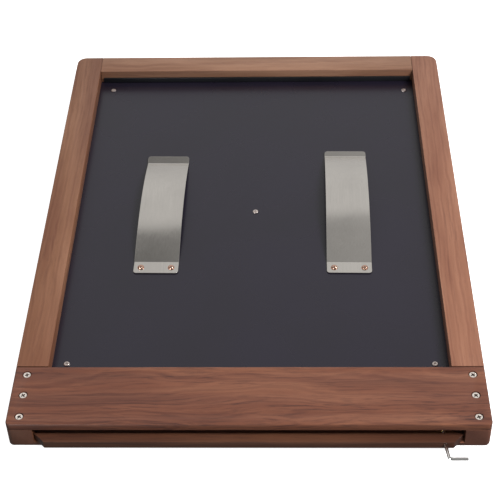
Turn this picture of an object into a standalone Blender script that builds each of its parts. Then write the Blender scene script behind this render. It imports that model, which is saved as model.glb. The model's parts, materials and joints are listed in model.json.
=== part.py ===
"""Single-sided sheet film holder for 8 x 10 inch film: a walnut frame round a black back panel,
a dark slide drawn out by its handle, a wire lock, a loading flap and two leaf springs.

Run with: blender --background --python part.py. Metres, +Z up. The holder lies on its lens side,
so Z = 0 is the face that meets the camera and the top is its back. Lengths along Y are measured
from the frame's front end, where the handle is, and the holder's empty then centres the whole.
"""

from math import atan2, cos, hypot, radians, sin

import bmesh
import bpy
from mathutils import Vector

# Frame
FRAME_WIDTH = 0.2360
FRAME_LENGTH = 0.3144
FRAME_HEIGHT = 0.0160
RAIL_WIDTH = 0.0163
COVER_DEPTH = 0.0380
COVER_THICKNESS = 0.0040
FAR_CORNER_RADIUS = 0.0060
NEAR_CORNER_RADIUS = 0.0025
ARRIS = 0.0008
GLUE_GAP = 0.0002
HALF_WIDTH = FRAME_WIDTH / 2
WINDOW_HALF = HALF_WIDTH - RAIL_WIDTH
WINDOW_FAR = FRAME_LENGTH - RAIL_WIDTH
COVER_BOTTOM = FRAME_HEIGHT - COVER_THICKNESS

# Lens side: a lip, then the slide's groove, then the groove of the back panel and the sheath
LIP_HEIGHT = 0.0026
LIP_OVERHANG = 0.0042
SLIDE_GROOVE_TOP = 0.0042
SLIDE_GROOVE_MIDDLE = (LIP_HEIGHT + SLIDE_GROOVE_TOP) / 2
SLIDE_GROOVE_DEPTH = 0.0037
PANEL_GROOVE_BOTTOM = 0.0052
PANEL_GROOVE_TOP = 0.0079
PANEL_GROOVE_DEPTH = 0.0020

# Back panel and film sheath
PANEL_TOP = 0.0077
PANEL_THICKNESS = 0.0009
PANEL_NEAR = 0.0358
PANEL_PLAY = 0.0004
SHEATH_TOP = 0.0066
SHEATH_DEPTH = 0.0012
SHEATH_SHEET = 0.0003
SHEATH_HALF = 0.1022
SHEATH_NEAR = 0.0400
SHEATH_LIP = 0.0035
RIVET_PLACES = {
    "near_left": (-0.0943, 0.0471),
    "near_right": (0.0948, 0.0469),
    "far_left": (-0.0928, 0.2882),
    "far_right": (0.0955, 0.2864),
    "centre": (0.0013, 0.1667),
}
RIVET_SHANK = 0.0008

# Dark slide, handle and lock
SLIDE_BOTTOM = 0.0029
SLIDE_THICKNESS = 0.0010
SLIDE_TOP = SLIDE_BOTTOM + SLIDE_THICKNESS
SLIDE_HALF = 0.1049
SLIDE_NEAR = 0.0022
TONGUE_NEAR = -0.0012
TONGUE_HALF = 0.0980
SLIDE_FAR = 0.3018
HANDLE_FRONT = -0.0036
HANDLE_BACK = 0.0084
HANDLE_BOTTOM = 0.00285
HANDLE_TOP = 0.0072
HANDLE_CHAMFER = (0.0052, 0.0054)
HANDLE_LIP_BACK = 0.0021
HANDLE_LEDGE = 0.0045
HANDLE_OPENING_HALF = WINDOW_HALF + SLIDE_GROOVE_DEPTH
HANDLE_OPENING_DEPTH = 0.0088
HANDLE_PIN_X = 0.0780
HANDLE_PIN_RADIUS = 0.0007
HANDLE_PIN_TOP = 0.0062
LOCK_X = 0.0954
LOCK_Z = 0.0056
LOCK_WIRE_RADIUS = 0.0008
LOCK_PLAY = 0.0002
LOCK_FRONT = -0.0124
LOCK_BACK = 0.0138
LOCK_LEAN = 0.0010
LOCK_ARM_END = 0.1058
LOCK_BEND = 0.0015
BUSH_RADIUS = 0.0012
BUSH_NEAR = -0.0006
KEEPER_HALF = 0.0042
KEEPER_THICKNESS = 0.0008
KEEPER_RISE = 0.0028

# Near end, between the slide and the cover rail
CROSS_RAIL_NEAR = 0.0091
LENS_BAR_FAR = 0.0292
TRAP_NEAR = 0.0160
TRAP_FAR = 0.0280
TRAP_HALF = 0.1000
TRAP_CHANNEL_TOP = 0.0076
UPPER_TRAP_TOP = 0.0054
LOWER_TRAP_HALF = 0.0960
LOWER_TRAP_FLOOR = 0.0012
TRAP_PLAY = 0.0003
SPRING_BASE = 0.0058
SPRING_BOW = 0.0011
SPRING_REACH = 0.0050
SPRING_THICKNESS = 0.00025
FLAP_PIN_Y = 0.0308
FLAP_PIN_Z = LIP_HEIGHT / 2
FLAP_PIN_RADIUS = 0.0005
FLAP_PIN_REACH = 0.0024
FLAP_FAR = 0.0500
FLAP_HALF = 0.0970

# Leaf springs: (foot bend centre X, Y, foot length, span to the tip bend, bow, turn in plan, lip)
LEAF_WIDTH = 0.0249
LEAF_THICKNESS = 0.0005
LEAF_BASE = 0.0082
LEAF_SPLIT = 0.0003
LEAF_CORNER = 0.0018
LEAF_TIP_RADIUS = 0.0025
LEAF_TIP_RISE = radians(20)
LEAF_RIVET_X = 0.0084
LEAF_RIVET_Y = -0.0046
LEAVES = {
    "left": (-0.0532, 0.1236, 0.0090, 0.0876, 0.0061, radians(-0.7), 0.0046),
    "right": (0.0539, 0.1231, 0.0087, 0.0942, 0.0073, radians(-0.7), 0.0032),
}

# Far joints
DOWEL_RADIUS = 0.0020
DOWEL_Y = WINDOW_FAR + 0.0095
DOWEL_Z = 0.0115
DOWEL_REACH = 0.0080
DOWEL_PLAY = 0.0003

# Cover screws
SCREW_X = 0.1117
SCREW_ROWS = {"front": 0.0053, "middle": 0.0191, "rear": 0.0326}
SCREW_HEAD_RADIUS = 0.00185
SCREW_HOLE_RADIUS = 0.0023
SCREW_SHANK = 0.0010
SCREW_TIP = 0.0050

LENGTH_MIDDLE = (FRAME_LENGTH + LOCK_FRONT - LOCK_WIRE_RADIUS) / 2
CLEAR = 0.0010
TINY = 1e-6
ROUND_STEPS = 16

SIDES = {"left": -1, "right": 1}


def clear_scene():
    for item in list(bpy.data.objects):
        bpy.data.objects.remove(item, do_unlink=True)


def make_collection(name, hidden):
    collection = bpy.data.collections.new(name)
    collection.hide_render = hidden
    bpy.context.scene.collection.children.link(collection)
    return collection


def make_empty(name, parent, place, turn=0.0):
    empty = bpy.data.objects.new(name, None)
    empty.empty_display_size = 0.01
    empty.parent = parent
    empty.location = place
    empty.rotation_euler.z = turn
    PARTS.objects.link(empty)
    return empty


def make_material(name, colour, roughness, metallic=0.0):
    material = bpy.data.materials.new(name)
    material.use_nodes = True
    shader = material.node_tree.nodes["Principled BSDF"]
    shader.inputs["Base Color"].default_value = (*colour, 1.0)
    shader.inputs["Roughness"].default_value = roughness
    shader.inputs["Metallic"].default_value = metallic
    material.diffuse_color = (*colour, 1.0)
    return material


def make_materials():
    return {
        "walnut": make_material("walnut", (0.23, 0.12, 0.08), 0.55),
        "cover walnut": make_material("cover walnut", (0.19, 0.09, 0.06), 0.5),
        "black panel": make_material("black panel", (0.04, 0.042, 0.048), 0.4),
        "black sheet": make_material("black sheet", (0.03, 0.03, 0.033), 0.5),
        "velvet": make_material("velvet", (0.01, 0.01, 0.011), 0.95),
        "stainless": make_material("stainless", (0.55, 0.54, 0.52), 0.33, 1.0),
        "copper": make_material("copper", (0.70, 0.36, 0.22), 0.3, 1.0),
        "nickel": make_material("nickel", (0.72, 0.69, 0.65), 0.25, 1.0),
        "brass": make_material("brass", (0.69, 0.51, 0.24), 0.3, 1.0),
        "beech": make_material("beech", (0.55, 0.38, 0.22), 0.6),
    }


def mesh_from(bm, name):
    mesh = bpy.data.meshes.new(name)
    bm.to_mesh(mesh)
    bm.free()
    return mesh


def add_part(name, mesh, material, parent, place=(0, 0, 0)):
    part = bpy.data.objects.new(name, mesh)
    part.parent = parent
    part.location = place
    part.data.materials.append(MATERIALS[material])
    PARTS.objects.link(part)
    return part


def cut(target, mesh, place=(0, 0, 0), turn=0.0, parent=None):
    """Takes a closed mesh out of the target, and keeps it as a hidden cutter."""
    cutter = bpy.data.objects.new("cut_" + target.name, mesh)
    cutter.parent = parent or HOLDER
    cutter.location = place
    cutter.rotation_euler.z = turn
    cutter.hide_render = True
    cutter.display_type = "WIRE"
    CUTTERS.objects.link(cutter)
    boolean = target.modifiers.new("cut", "BOOLEAN")
    boolean.operation = "DIFFERENCE"
    boolean.solver = "EXACT"
    boolean.object = cutter
    return cutter


def span(first, second):
    """Low and high corners of the box between two opposite corners."""
    low = Vector(min(a, b) for a, b in zip(first, second))
    high = Vector(max(a, b) for a, b in zip(first, second))
    return low, high


def cube_of(size):
    bm = bmesh.new()
    bmesh.ops.create_cube(bm, size=1.0)
    bmesh.ops.scale(bm, vec=size, verts=bm.verts)
    return bm


def cut_box(target, first, second):
    low, high = span(first, second)
    cut(target, mesh_from(cube_of(high - low), "box_cutter"), (low + high) / 2)


def round_corners(bm, corners):
    """Rounds upright edges in plan; corners gives a radius for each (x sign, y sign)."""
    for (x_sign, y_sign), radius in corners.items():
        edges = [
            edge
            for edge in bm.edges
            if abs(edge.verts[0].co.z - edge.verts[1].co.z) > TINY
            and all(v.co.x * x_sign > 0 and v.co.y * y_sign > 0 for v in edge.verts)
        ]
        bmesh.ops.bevel(bm, geom=edges, offset=radius, segments=5, profile=0.5, affect="EDGES")


def ease_rim(bm, half, plain_sides, faces=(-1, 1)):
    """Eases the upper and lower edges, but not on the sides that meet another piece."""

    def is_plain(edge):
        return any(
            all(abs(v.co[axis] - sign * half[axis]) < TINY for v in edge.verts)
            for axis, sign in plain_sides
        )

    edges = [
        edge
        for edge in bm.edges
        for sign in faces
        if all(abs(v.co.z - sign * half.z) < TINY for v in edge.verts) and not is_plain(edge)
    ]
    bmesh.ops.bevel(bm, geom=edges, offset=ARRIS, segments=2, profile=0.5, affect="EDGES")


def block(name, first, second, material, corners=None, plain_sides=None, faces=(-1, 1)):
    """A box between two corners; with plain_sides its other rim edges are eased."""
    low, high = span(first, second)
    bm = cube_of(high - low)
    round_corners(bm, corners or {})
    if plain_sides is not None:
        ease_rim(bm, (high - low) / 2, plain_sides, faces)
    return add_part(name, mesh_from(bm, name), material, HOLDER, (low + high) / 2)


def rod_mesh(name, radius, start, end, steps=ROUND_STEPS):
    """A plain cylinder between two points."""
    start, end = Vector(start), Vector(end)
    axis = end - start
    bm = bmesh.new()
    bmesh.ops.create_cone(
        bm, cap_ends=True, segments=steps, radius1=radius, radius2=radius, depth=axis.length
    )
    turn = Vector((0, 0, 1)).rotation_difference(axis).to_matrix().to_4x4()
    bmesh.ops.transform(bm, matrix=turn, verts=bm.verts)
    bmesh.ops.translate(bm, vec=(start + end) / 2, verts=bm.verts)
    return mesh_from(bm, name)


def drill(target, radius, start, end, parent=None):
    cut(target, rod_mesh("drill", radius, start, end), parent=parent)


def profile_mesh(name, profile):
    """A line of (radius, height) points, from the top of the axis to the bottom."""
    bm = bmesh.new()
    points = [bm.verts.new((radius, 0, height)) for radius, height in profile]
    for upper, lower in zip(points, points[1:]):
        bm.edges.new((upper, lower))
    return mesh_from(bm, name)


def turn_profile(part):
    screw = part.modifiers.new("turn", "SCREW")
    screw.steps = screw.render_steps = ROUND_STEPS
    screw.use_merge_vertices = True
    screw.merge_threshold = 1e-5


def turned(name, profile, material, parent, place):
    part = add_part(name, profile_mesh(name, profile), material, parent, place)
    turn_profile(part)
    return part


def strip_mesh(name, path, width, rounded_start=False, rounded_end=False):
    """A sheet along (y, z) points, level across X, with plan corners rounded at its free ends."""
    bm = bmesh.new()
    rows = [[bm.verts.new((x, y, z)) for x in (-width / 2, width / 2)] for y, z in path]
    for (left, right), (next_left, next_right) in zip(rows, rows[1:]):
        bm.faces.new((left, right, next_right, next_left))
    corners = rows[0] * rounded_start + rows[-1] * rounded_end
    if corners:
        bmesh.ops.bevel(bm, geom=corners, offset=LEAF_CORNER, segments=4, affect="VERTICES")
    return mesh_from(bm, name)


def thicken(part, thickness):
    solid = part.modifiers.new("sheet", "SOLIDIFY")
    solid.thickness = thickness
    solid.offset = 0.0
    solid.use_even_offset = True


def make_stile(side, sign):
    """Full-length side rail, lapped down under the cover rail and notched for the handle."""
    inner = WINDOW_HALF - LIP_OVERHANG
    far_corner, near_corner = FAR_CORNER_RADIUS, NEAR_CORNER_RADIUS
    stile = block(
        side + "_stile",
        (sign * inner, 0, 0),
        (sign * HALF_WIDTH, FRAME_LENGTH, FRAME_HEIGHT),
        "walnut",
        corners={(sign, 1): far_corner, (sign, -1): near_corner},
        plain_sides=[(0, -sign)],
    )
    clear = sign * (inner - CLEAR)
    far, top = FRAME_LENGTH + CLEAR, FRAME_HEIGHT + CLEAR
    slide_side = sign * (WINDOW_HALF + SLIDE_GROOVE_DEPTH)
    panel_side = sign * (WINDOW_HALF + PANEL_GROOVE_DEPTH)
    cut_box(stile, (clear, -CLEAR, SLIDE_GROOVE_MIDDLE), (sign * WINDOW_HALF, far, top))
    cut_box(
        stile,
        (clear, -CLEAR, LIP_HEIGHT),
        (slide_side, WINDOW_FAR + SLIDE_GROOVE_DEPTH, SLIDE_GROOVE_TOP),
    )
    cut_box(
        stile,
        (clear, PANEL_NEAR - PANEL_PLAY, PANEL_GROOVE_BOTTOM),
        (panel_side, WINDOW_FAR + PANEL_GROOVE_DEPTH, PANEL_GROOVE_TOP),
    )
    cut_box(
        stile,
        (clear, -CLEAR, COVER_BOTTOM - GLUE_GAP),
        (sign * (HALF_WIDTH + CLEAR), COVER_DEPTH + GLUE_GAP, top),
    )
    cut_box(
        stile,
        (clear, -CLEAR, LIP_HEIGHT),
        (sign * HANDLE_OPENING_HALF, HANDLE_OPENING_DEPTH, COVER_BOTTOM),
    )
    cut_box(
        stile,
        (clear, WINDOW_FAR - GLUE_GAP, -CLEAR),
        (sign * WINDOW_HALF, far, SLIDE_GROOVE_MIDDLE),
    )
    pin_end = sign * (FLAP_HALF + FLAP_PIN_REACH + 0.0003)
    drill(
        stile,
        FLAP_PIN_RADIUS + 0.0001,
        (clear, FLAP_PIN_Y, FLAP_PIN_Z),
        (pin_end, FLAP_PIN_Y, FLAP_PIN_Z),
    )
    for row_y in SCREW_ROWS.values():
        drill(
            stile,
            SCREW_SHANK + 0.0002,
            (sign * SCREW_X, row_y, SCREW_TIP - 0.0005),
            (sign * SCREW_X, row_y, COVER_BOTTOM + CLEAR),
        )
    drill(stile, DOWEL_RADIUS + 0.0001, *dowel_ends(sign, DOWEL_PLAY))


def dowel_ends(sign, play=0.0):
    reach = DOWEL_REACH + play
    return [(sign * (WINDOW_HALF + offset), DOWEL_Y, DOWEL_Z) for offset in (-reach, reach)]


def make_far_rail():
    """Rail between the stiles at the far end, with the same lip and grooves."""
    half = WINDOW_HALF - GLUE_GAP
    lip_half = WINDOW_HALF - LIP_OVERHANG - 0.0003
    lip_near = WINDOW_FAR - LIP_OVERHANG
    rail = block(
        "far_rail",
        (-half, lip_near, 0),
        (half, FRAME_LENGTH, FRAME_HEIGHT),
        "walnut",
        plain_sides=[(0, -1), (0, 1), (1, -1)],
    )
    wide, near = half + CLEAR, lip_near - CLEAR
    top = FRAME_HEIGHT + CLEAR
    cut_box(rail, (-wide, near, SLIDE_GROOVE_MIDDLE), (wide, WINDOW_FAR, top))
    slide_far = WINDOW_FAR + SLIDE_GROOVE_DEPTH
    cut_box(rail, (-wide, near, LIP_HEIGHT), (wide, slide_far, SLIDE_GROOVE_TOP))
    panel_far = WINDOW_FAR + PANEL_GROOVE_DEPTH
    cut_box(rail, (-wide, near, PANEL_GROOVE_BOTTOM), (wide, panel_far, PANEL_GROOVE_TOP))
    for sign in SIDES.values():
        cut_box(
            rail,
            (sign * lip_half, near, -CLEAR),
            (sign * wide, WINDOW_FAR, SLIDE_GROOVE_MIDDLE),
        )
        drill(rail, DOWEL_RADIUS + 0.0001, *dowel_ends(sign, DOWEL_PLAY))


def make_dowels():
    for side, sign in SIDES.items():
        mesh = rod_mesh("dowel", DOWEL_RADIUS, *dowel_ends(sign))
        add_part(side + "_far_dowel", mesh, "beech", HOLDER)


def make_cover_rail():
    """Wide rail across the handle end, screwed down on both stiles."""
    rail = block(
        "cover_rail",
        (-HALF_WIDTH, 0, COVER_BOTTOM),
        (HALF_WIDTH, COVER_DEPTH, FRAME_HEIGHT),
        "cover walnut",
        corners={(-1, -1): NEAR_CORNER_RADIUS, (1, -1): NEAR_CORNER_RADIUS},
        plain_sides=[],
        faces=(1,),
    )
    mouth, clear_radius = 0.0006, SCREW_SHANK + 0.0003
    countersink = [
        (0, CLEAR),
        (SCREW_HOLE_RADIUS, CLEAR),
        (SCREW_HOLE_RADIUS, -mouth),
        (clear_radius, -mouth - SCREW_HEAD_RADIUS),
        (clear_radius, -COVER_THICKNESS - CLEAR),
        (0, -COVER_THICKNESS - CLEAR),
    ]
    for sign in SIDES.values():
        for row_y in SCREW_ROWS.values():
            place = (sign * SCREW_X, row_y, FRAME_HEIGHT)
            turn_profile(cut(rail, profile_mesh("countersink", countersink), place))


def make_cover_screws():
    """Countersunk wood screws with a cross recess, their heads just under the surface."""
    head_top = FRAME_HEIGHT - 0.0003
    head_depth = 0.0013
    profile = [
        (0, 0),
        (SCREW_HEAD_RADIUS, -0.0001),
        (SCREW_HEAD_RADIUS, -0.0003),
        (SCREW_SHANK, -head_depth),
        (SCREW_SHANK, SCREW_TIP + 0.0018 - head_top),
        (0, SCREW_TIP - head_top),
    ]
    for side, sign in SIDES.items():
        for row, row_y in SCREW_ROWS.items():
            name = "_".join((side, row, "cover_screw"))
            place = (sign * SCREW_X, row_y, head_top)
            screw = turned(name, profile, "nickel", HOLDER, place)
            turn = radians(23) * sign + row_y * 40
            for quarter in (0, radians(90)):
                slot = mesh_from(cube_of(Vector((0.0021, 0.0005, 0.0014))), "recess")
                cut(screw, slot, place, turn + quarter)


def make_near_end():
    """Cross rail over the slide, and the lens-side bar in front of the loading flap."""
    rail = block(
        "near_cross_rail",
        (-WINDOW_HALF + 0.0003, CROSS_RAIL_NEAR, SLIDE_GROOVE_TOP),
        (WINDOW_HALF - 0.0003, COVER_DEPTH - 0.0003, COVER_BOTTOM - GLUE_GAP),
        "walnut",
    )
    groove_near = PANEL_NEAR - PANEL_PLAY
    cut_box(
        rail,
        (-HALF_WIDTH, groove_near, PANEL_TOP - PANEL_THICKNESS - 0.0002),
        (HALF_WIDTH, COVER_DEPTH, PANEL_GROOVE_TOP),
    )
    cut_box(rail, (-TRAP_HALF, TRAP_NEAR, 0), (TRAP_HALF, TRAP_FAR, TRAP_CHANNEL_TOP))
    keeper_low, keeper_high = keeper_box(0.00015)
    cut_box(rail, (keeper_low[0], 0, 0), keeper_high)
    drill(
        rail,
        LOCK_WIRE_RADIUS + LOCK_PLAY,
        (LOCK_X, CROSS_RAIL_NEAR, LOCK_Z),
        (LOCK_X, LOCK_BACK + 3 * LOCK_PLAY, LOCK_Z),
    )
    bar = block("lens_front_bar", (-FLAP_HALF, 0, 0), (FLAP_HALF, LENS_BAR_FAR, LIP_HEIGHT), "walnut")
    trough = (LOWER_TRAP_HALF, TRAP_FAR, LIP_HEIGHT + CLEAR)
    cut_box(bar, (-LOWER_TRAP_HALF, TRAP_NEAR, LOWER_TRAP_FLOOR), trough)


def keeper_box(play=0.0):
    """Corners of the lock's brass keeper, let into the front of the cross rail."""
    half, back = KEEPER_HALF + play, CROSS_RAIL_NEAR + KEEPER_THICKNESS + play
    low = (LOCK_X - half, CROSS_RAIL_NEAR, SLIDE_GROOVE_TOP + 0.0001)
    return low, (LOCK_X + half, back, LOCK_Z + KEEPER_RISE + play)


def make_light_trap():
    """Velvet above and below the slide, with a bowed strip spring pressing the upper one."""
    near, far = TRAP_NEAR + TRAP_PLAY, TRAP_FAR - TRAP_PLAY
    half, lower_half = TRAP_HALF - TRAP_PLAY, LOWER_TRAP_HALF - TRAP_PLAY
    pile, floor = SLIDE_TOP + 0.0002, LOWER_TRAP_FLOOR + 0.0002
    block("upper_light_trap", (-half, near, pile), (half, far, UPPER_TRAP_TOP), "velvet")
    low, high = (-lower_half, near, floor), (lower_half, far, SLIDE_BOTTOM - 0.00015)
    block("lower_light_trap", low, high, "velvet")
    middle, steps = (near + far) / 2, 8
    across = [2 * i / steps - 1 for i in range(steps + 1)]
    path = [(middle + SPRING_REACH * t, SPRING_BASE + SPRING_BOW * (1 - t**2)) for t in across]
    mesh = strip_mesh("light_trap_spring", path, 2 * half - 0.0010)
    thicken(add_part("light_trap_spring", mesh, "stainless", HOLDER), SPRING_THICKNESS)


def make_flap():
    """Loading flap, hinged on a wire pin whose ends are held in the stiles' lips."""
    middle = FLAP_PIN_Z
    half_length = (FLAP_FAR - FLAP_PIN_Y + middle) / 2
    size = Vector((2 * (FLAP_HALF - 0.0001), 2 * half_length, LIP_HEIGHT))
    bm = cube_of(size)
    edges = [e for e in bm.edges if all(v.co.y < -half_length + TINY for v in e.verts)]
    edges = [e for e in edges if abs(e.verts[0].co.x - e.verts[1].co.x) > TINY]
    bmesh.ops.bevel(bm, geom=edges, offset=middle - 1e-5, segments=5, profile=0.5, affect="EDGES")
    bmesh.ops.translate(bm, vec=(0, half_length - middle, 0), verts=bm.verts)
    hinge = (0, FLAP_PIN_Y, middle)
    flap = add_part("loading_flap", mesh_from(bm, "loading_flap"), "walnut", HOLDER, hinge)
    ends = [(sign * 0.1, FLAP_PIN_Y, middle) for sign in (-1, 1)]
    drill(flap, FLAP_PIN_RADIUS + 0.0001, *ends)
    reach = FLAP_HALF + FLAP_PIN_REACH
    pin_ends = [(sign * reach, FLAP_PIN_Y, middle) for sign in (-1, 1)]
    add_part("flap_hinge_pin", rod_mesh("pin", FLAP_PIN_RADIUS, *pin_ends, 12), "stainless", HOLDER)


def make_panel():
    """Black back panel, held in grooves on all four sides."""
    half = WINDOW_HALF + PANEL_GROOVE_DEPTH - PANEL_PLAY
    far = WINDOW_FAR + PANEL_GROOVE_DEPTH - PANEL_PLAY
    bottom = PANEL_TOP - PANEL_THICKNESS
    panel = block("back_panel", (-half, PANEL_NEAR, bottom), (half, far, PANEL_TOP), "black panel")
    for x, y in RIVET_PLACES.values():
        drill(panel, RIVET_SHANK + 0.0001, (x, y, 0), (x, y, FRAME_HEIGHT))
    return panel


def make_sheath():
    """Film sheath under the panel: a thin sheet folded over the film on three sides."""
    far = WINDOW_FAR + 0.0009
    bottom = SHEATH_TOP - SHEATH_DEPTH
    sheath = block(
        "film_sheath", (-SHEATH_HALF, SHEATH_NEAR, bottom), (SHEATH_HALF, far, SHEATH_TOP), "black sheet"
    )
    inner, near = SHEATH_HALF - SHEATH_SHEET, SHEATH_NEAR - CLEAR
    cut_box(
        sheath,
        (-inner, near, bottom + SHEATH_SHEET),
        (inner, far - SHEATH_SHEET, SHEATH_TOP - SHEATH_SHEET),
    )
    opening = SHEATH_HALF - SHEATH_LIP
    cut_box(sheath, (-opening, near, 0), (opening, far - SHEATH_LIP, SHEATH_TOP - SHEATH_DEPTH / 2))
    for x, y in RIVET_PLACES.values():
        drill(sheath, RIVET_SHANK + 0.0001, (x, y, 0), (x, y, FRAME_HEIGHT))
    return sheath


def make_panel_rivets():
    """Small tubular rivets through the panel and the sheath, with a hollow centre."""
    gap = 0.0001
    head, foot = PANEL_TOP + gap, SHEATH_TOP - SHEATH_SHEET - gap
    profile = [
        (0, head + 0.0002),
        (0.0006, head + 0.0002),
        (0.0008, head + 0.0006),
        (0.0012, head + 0.0006),
        (0.0016, head + 0.0002),
        (0.0016, head),
        (RIVET_SHANK, head),
        (RIVET_SHANK, foot),
        (0.0012, foot),
        (0.0012, foot - 0.0002),
        (0, foot - 0.0002),
    ]
    for name, place in RIVET_PLACES.items():
        turned(name + "_panel_rivet", profile, "nickel", HOLDER, (*place, 0))


def make_seal_strip():
    """Black retaining strip along the far wall, standing on the panel."""
    near, far = WINDOW_FAR - 0.0012, WINDOW_FAR - 0.0001
    low, high = PANEL_TOP + 0.00015, FRAME_HEIGHT - 0.0047
    block("far_seal_strip", (-0.0998, near, low), (0.1002, far, high), "black sheet")


def leaf_bow(length, bow, start, end, steps):
    """Points of the arched leaf from one fraction of its span to another."""
    fractions = [start + (end - start) * i / steps for i in range(steps + 1)]
    return [(length * part, 4 * bow * part * (1 - part)) for part in fractions]


def leaf_tip(start, slope, lip):
    """The turned-up lip: an arc from the leaf's slope to the lip's, then a straight stretch."""
    y, z = start
    steps = 4
    arc = []
    for i in range(1, steps + 1):
        heading = slope + (LEAF_TIP_RISE - slope) * i / steps
        across = LEAF_TIP_RADIUS * (sin(heading) - sin(slope))
        up = LEAF_TIP_RADIUS * (cos(slope) - cos(heading))
        arc.append((y + across, z + up))
    last_y, last_z = arc[-1]
    return [*arc, (last_y + lip * cos(LEAF_TIP_RISE), last_z + lip * sin(LEAF_TIP_RISE))]


def make_leaf(side, panel, sheath):
    """A leaf riveted by its foot; it flexes at the foot bend and at its crown."""
    x, y, foot, length, bow, turn, lip = LEAVES[side]
    bend = make_empty(side + "_leaf_bend", HOLDER, (x, y, LEAF_BASE), turn)
    crown = make_empty(side + "_leaf_crown", bend, (0, length / 2, bow))
    split = LEAF_SPLIT / 2

    foot_path = [(-foot, 0), (-split, 0)]
    foot_mesh = strip_mesh("foot", foot_path, LEAF_WIDTH, rounded_start=True)
    foot_part = add_part(side + "_leaf_foot", foot_mesh, "stainless", bend)
    thicken(foot_part, LEAF_THICKNESS)

    near_path = leaf_bow(length, bow, split / length, 0.5 - split / length, 8)
    near_mesh = strip_mesh("near_half", near_path, LEAF_WIDTH)
    near_part = add_part(side + "_leaf_near_half", near_mesh, "stainless", bend)
    thicken(near_part, LEAF_THICKNESS)

    tip_part = 0.985
    far_path = leaf_bow(length, bow, 0.5 + split / length, tip_part, 8)
    slope = atan2(4 * bow * (1 - 2 * tip_part), length)
    far_path += leaf_tip(far_path[-1], slope, lip)
    far_path = [(across - length / 2, up - bow) for across, up in far_path]
    far_mesh = strip_mesh("far_half", far_path, LEAF_WIDTH, rounded_end=True)
    far_part = add_part(side + "_leaf_far_half", far_mesh, "stainless", crown)
    thicken(far_part, LEAF_THICKNESS)

    for hand, sign in SIDES.items():
        place = (sign * LEAF_RIVET_X, LEAF_RIVET_Y, 0)
        make_leaf_rivet(side + "_leaf_" + hand + "_rivet", bend, place)
        for target, radius in ((foot_part, 0.0010), (panel, 0.0010), (sheath, 0.0020)):
            low, high = Vector(place), Vector(place)
            low.z, high.z = -LEAF_BASE, 0.005
            drill(target, radius, low, high, parent=bend)


def make_leaf_rivet(name, bend, place):
    """Domed copper rivet with a thin flange, closed under the panel."""
    flange = LEAF_THICKNESS / 2 + 0.0001
    under = PANEL_TOP - PANEL_THICKNESS - LEAF_BASE - 0.0001
    dome, height, radius, steps = [], 0.0013, 0.00165, 4
    for i in range(steps + 1):
        angle = radians(90) * (1 - i / steps)
        dome.append((radius * cos(angle), flange + 0.00015 + height * sin(angle)))
    dome[0] = (0, dome[0][1])
    profile = [
        *dome,
        (0.0019, flange + 0.00015),
        (0.0019, flange),
        (0.0009, flange),
        (0.0009, under),
        (0.0014, under),
        (0.0014, under - 0.0003),
        (0, under - 0.0003),
    ]
    turned(name, profile, "copper", bend, place)


def make_slide():
    """Dark slide whose tongue is let into the handle and pinned; the handle's lip is the grip."""
    near, far = (-SLIDE_HALF, TONGUE_NEAR, SLIDE_BOTTOM), (SLIDE_HALF, SLIDE_FAR, SLIDE_TOP)
    slide = block("dark_slide", near, far, "black sheet")
    handle = block(
        "slide_handle",
        (-SLIDE_HALF, HANDLE_FRONT, HANDLE_BOTTOM),
        (SLIDE_HALF, HANDLE_BACK, HANDLE_TOP),
        "cover walnut",
    )
    play = 0.00015
    wide, back = SLIDE_HALF + CLEAR, HANDLE_BACK + CLEAR
    tongue = TONGUE_HALF + 2 * play
    cut_box(handle, (-wide, SLIDE_NEAR - play, 0), (wide, back, SLIDE_TOP + play))
    cut_box(handle, (-tongue, TONGUE_NEAR - play, 0), (tongue, SLIDE_NEAR, SLIDE_TOP + play))
    cut_box(handle, (-wide, HANDLE_LIP_BACK, HANDLE_LEDGE), (wide, back, FRAME_HEIGHT))
    for sign in SIDES.values():
        cut_handle_corner(handle, sign)
        cut_box(slide, (sign * TONGUE_HALF, TONGUE_NEAR - CLEAR, 0), (sign * wide, SLIDE_NEAR, HANDLE_TOP))
    pin_y = (TONGUE_NEAR + HANDLE_LIP_BACK) / 2
    for name, x in (("left", -HANDLE_PIN_X), ("middle", 0.0), ("right", HANDLE_PIN_X)):
        for target in (slide, handle):
            drill(target, HANDLE_PIN_RADIUS + 0.0001, (x, pin_y, 0), (x, pin_y, HANDLE_PIN_TOP + 0.0002))
        ends = [(x, pin_y, z) for z in (SLIDE_BOTTOM + 0.0001, HANDLE_PIN_TOP)]
        mesh = rod_mesh("pin", HANDLE_PIN_RADIUS, *ends, 12)
        add_part(name + "_handle_pin", mesh, "nickel", HOLDER)
    return handle


def cut_handle_corner(handle, sign):
    """Cuts the handle's front corner off at a slant."""
    across, deep = HANDLE_CHAMFER
    size = 0.02
    outward = Vector((sign * deep, -across, 0)) / hypot(across, deep)
    middle = Vector((sign * (SLIDE_HALF - across / 2), HANDLE_FRONT + deep / 2, LOCK_Z))
    mesh = mesh_from(cube_of(Vector((size, size, size))), "corner_cutter")
    cut(handle, mesh, middle + outward * size / 2, atan2(outward.y, outward.x))


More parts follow.
